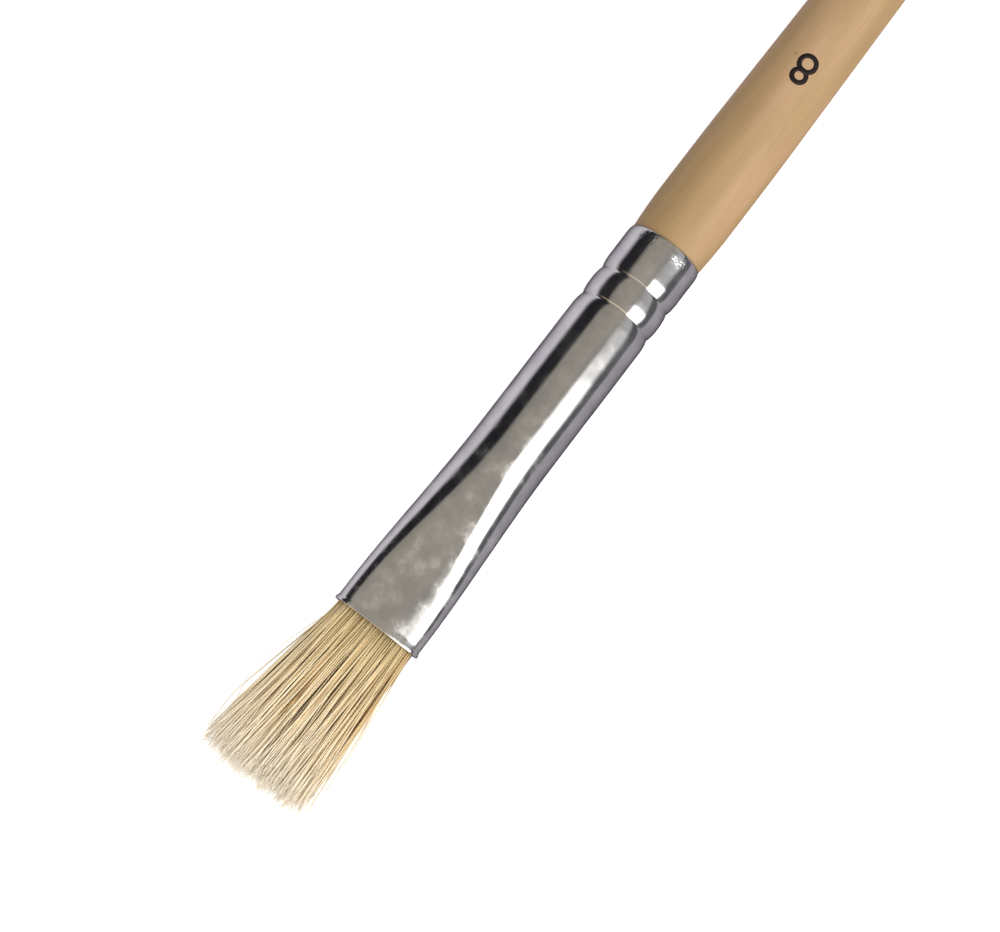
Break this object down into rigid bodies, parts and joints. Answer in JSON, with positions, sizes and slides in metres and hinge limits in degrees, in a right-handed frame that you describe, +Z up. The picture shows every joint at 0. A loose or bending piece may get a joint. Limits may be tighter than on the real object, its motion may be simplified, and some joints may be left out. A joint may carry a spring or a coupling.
{
  "type": "paint brush",
  "caption": "Flat hog-bristle artist's brush: turned plain wood handle, crimped seamless metal ferrule flattened to a flat mouth, and a fanned natural bristle tuft.",
  "frame": {"origin": "on the table, under the middle of the brush's length; y = 0 is the handle's and ferrule's own axis", "axes": "+X along the brush towards the bristle tips, +Y across the flat of the mouth, +Z up, square to the flat"},
  "size_m": [0.19, 0.0108, 0.007],
  "materials": {
    "handle": "clear-sealed birch, satin",
    "handle_glue": "cured wood glue",
    "ferrule": "bright drawn",
    "root_plug": "cured resin with bristle roots set in it",
    "bristle_tuft": "natural bleached hog bristle with split tips"
  },
  "bodies": {
    "root": {"handle": "handle", "handle_glue": "handle_glue", "ferrule": "ferrule", "root_plug": "root_plug", "bristle_tuft": "bristle_tuft"}
  },
  "joints": []
}
